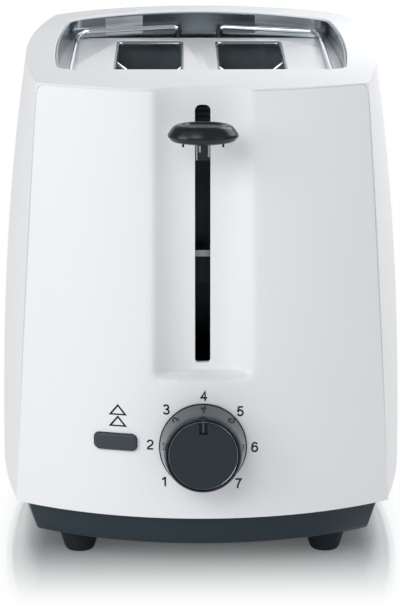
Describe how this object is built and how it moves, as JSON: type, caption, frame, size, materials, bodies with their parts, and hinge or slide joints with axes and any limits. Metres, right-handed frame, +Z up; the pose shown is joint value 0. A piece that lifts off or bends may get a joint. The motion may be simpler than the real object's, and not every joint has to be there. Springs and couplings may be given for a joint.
{
  "type": "pop-up toaster",
  "caption": "Pop-up toaster with long bread slots, a sliding carriage lever, browning dial, cancel button, lifting bun rack and slide-out crumb tray.",
  "frame": {"origin": "on the floor, under the middle of the toaster's bounding box", "axes": "+Z up, -Y out of the lever end, +X to the right seen from the lever end"},
  "size_m": [0.166, 0.29, 0.1925],
  "materials": {
    "white_plastic": "satin white moulded plastic",
    "dark_plastic": "fine-grained anthracite moulded plastic",
    "rubber": "matt black rubber",
    "satin_steel": "satin stainless sheet",
    "zinc_steel": "zinc-plated pressed steel",
    "chrome_wire": "polished chrome wire and rod",
    "mica": "mica heater card",
    "circuit_board": "green circuit board",
    "copper": "enamelled copper winding"
  },
  "bodies": {
    "chassis": {"housing": "white_plastic", "front_panel": "white_plastic", "rear_panel": "white_plastic", "base": "dark_plastic", "foot_front_left": "rubber", "foot_front_right": "rubber", "foot_rear_left": "rubber", "foot_rear_right": "rubber", "base_screw_1": "zinc_steel", "base_screw_2": "zinc_steel", "base_screw_3": "zinc_steel", "base_screw_4": "zinc_steel", "cord_gland": "rubber", "top_plate": "satin_steel", "recess_liner": "satin_steel", "front_bulkhead": "zinc_steel", "rear_bulkhead": "zinc_steel", "reflector_left": "satin_steel", "reflector_right": "satin_steel", "heater_outer_left": "mica", "heater_inner_left": "mica", "heater_inner_right": "mica", "heater_outer_right": "mica", "guide_rod_left": "chrome_wire", "guide_rod_right": "chrome_wire", "rod_bracket_left": "zinc_steel", "rod_bracket_right": "zinc_steel", "spring_anchor": "zinc_steel", "lift_spring": "zinc_steel", "magnet_mount": "dark_plastic", "magnet_core": "zinc_steel", "magnet_coil": "copper", "control_board": "circuit_board", "cancel_switch": "dark_plastic", "potentiometer": "zinc_steel", "rack_guide_front": "dark_plastic", "rack_guide_rear": "dark_plastic"},
    "carriage": {"carriage": "zinc_steel", "lever_arm": "zinc_steel", "lever_slider": "dark_plastic", "armature": "zinc_steel", "lever_knob": "dark_plastic", "lifter_left": "zinc_steel", "lifter_right": "zinc_steel"},
    "guard_outer_left": {"guard_outer_left": "zinc_steel"},
    "guard_inner_left": {"guard_inner_left": "zinc_steel"},
    "guard_outer_right": {"guard_outer_right": "zinc_steel"},
    "guard_inner_right": {"guard_inner_right": "zinc_steel"},
    "dial": {"browning_dial": "dark_plastic", "dial_shaft": "zinc_steel"},
    "button": {"cancel_button": "dark_plastic"},
    "rack": {"rack_wire_left": "chrome_wire", "rack_wire_right": "chrome_wire", "rack_slider": "dark_plastic", "rack_arm": "zinc_steel", "rack_knob": "dark_plastic"},
    "tray": {"crumb_tray": "zinc_steel"}
  },
  "joints": [
    {"name": "carriage_slide", "type": "slide", "parent": "chassis", "child": "carriage", "axis": [0, 0, -1], "range_m": [0, 0.08], "stiffness_N_per_m": 30, "springref_m": -0.1, "deforming": ["lift_spring"]},
    {"name": "guard_outer_left_tilt", "type": "hinge", "parent": "chassis", "child": "guard_outer_left", "pos_m": [-0.031, 0, 0.031], "axis": [0, 1, 0], "range_deg": [0, 2.6]},
    {"name": "guard_inner_left_tilt", "type": "hinge", "parent": "chassis", "child": "guard_inner_left", "pos_m": [-0.012, 0, 0.031], "axis": [0, -1, 0], "range_deg": [0, 2.6]},
    {"name": "guard_inner_right_tilt", "type": "hinge", "parent": "chassis", "child": "guard_inner_right", "pos_m": [0.012, 0, 0.031], "axis": [0, 1, 0], "range_deg": [0, 2.6]},
    {"name": "guard_outer_right_tilt", "type": "hinge", "parent": "chassis", "child": "guard_outer_right", "pos_m": [0.031, 0, 0.031], "axis": [0, -1, 0], "range_deg": [0, 2.6]},
    {"name": "dial_turn", "type": "hinge", "parent": "chassis", "child": "dial", "pos_m": [0, -0.12706, 0.0517], "axis": [0, -0.9991, 0.0419], "range_deg": [-135, 135]},
    {"name": "cancel_press", "type": "slide", "parent": "chassis", "child": "button", "axis": [0, 1, 0], "range_m": [0, 0.0022], "stiffness_N_per_m": 200, "springref_m": -0.002},
    {"name": "rack_lift", "type": "slide", "parent": "chassis", "child": "rack", "axis": [0, 0, 1], "range_m": [0, 0.035]},
    {"name": "tray_slide", "type": "slide", "parent": "chassis", "child": "tray", "axis": [0, 1, 0], "range_m": [0, 0.15]}
  ],
  "couplings": [
    {"joint": "guard_outer_left_tilt", "follows": "carriage_slide", "rad_per_m": 0.56},
    {"joint": "guard_inner_left_tilt", "follows": "carriage_slide", "rad_per_m": 0.56},
    {"joint": "guard_inner_right_tilt", "follows": "carriage_slide", "rad_per_m": 0.56},
    {"joint": "guard_outer_right_tilt", "follows": "carriage_slide", "rad_per_m": 0.56}
  ]
}
